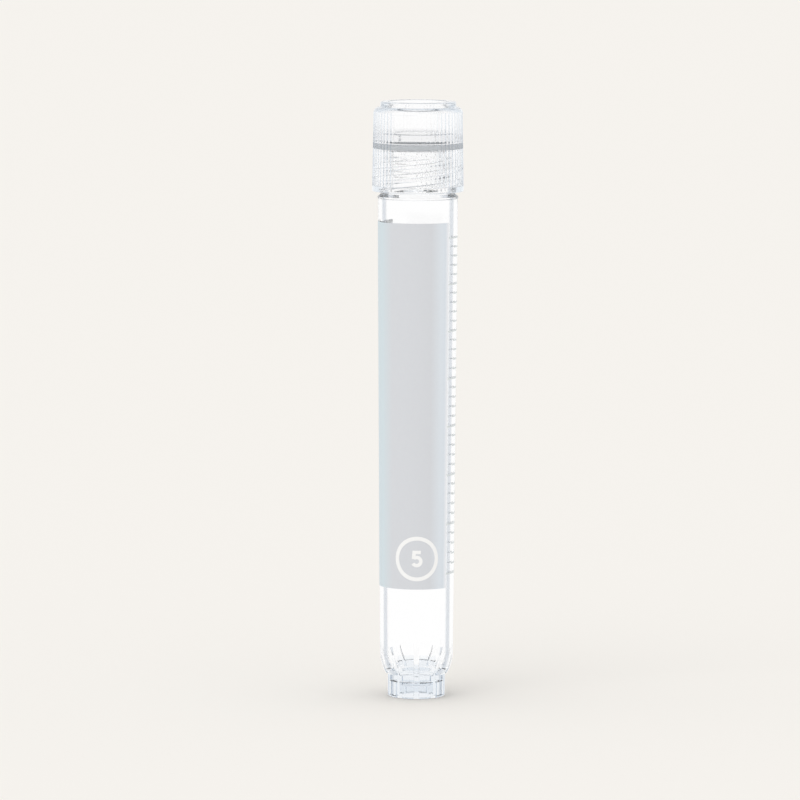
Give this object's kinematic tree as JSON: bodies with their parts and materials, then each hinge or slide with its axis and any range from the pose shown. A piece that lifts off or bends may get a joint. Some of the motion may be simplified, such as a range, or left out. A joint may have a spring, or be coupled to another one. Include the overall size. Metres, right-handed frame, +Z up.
{
  "type": "cryogenic tube",
  "caption": "Self-standing clear plastic cryogenic tube with an outside-threaded neck, a ribbed screw cap with a seal washer and a printed writing area.",
  "frame": {"origin": "on the axis of the tube, at the bottom of its foot", "axes": "+Z up along the tube towards the cap; -Y is the middle of the front that the picture shows; +X is to the right of the front"},
  "size_m": [0.014, 0.014, 0.092],
  "materials": {
    "tube_plastic": "clear natural polypropylene, moulded, glossy with a slight haze",
    "cap_plastic": "clear natural polypropylene, moulded, satin on the ribs",
    "seal_silicone": "grey silicone, matte",
    "writing_print": "pale grey screen print, matte so that it takes a pen"
  },
  "bodies": {
    "tube": {"tube_body": "tube_plastic", "writing_area": "writing_print"},
    "seal": {"seal_washer": "seal_silicone"},
    "cap": {"screw_cap": "cap_plastic"}
  },
  "joints": [
    {"name": "cap_rise", "type": "slide", "parent": "tube", "child": "seal", "axis": [0, 0, 1], "range_m": [0, 0.008]},
    {"name": "cap_turn", "type": "hinge", "parent": "seal", "child": "cap", "pos_m": [0, 0, 0.0855], "axis": [0, 0, 1], "range_deg": [0, 720]}
  ],
  "couplings": [
    {"joint": "cap_turn", "follows": "cap_rise", "rad_per_m": 1570.8}
  ]
}
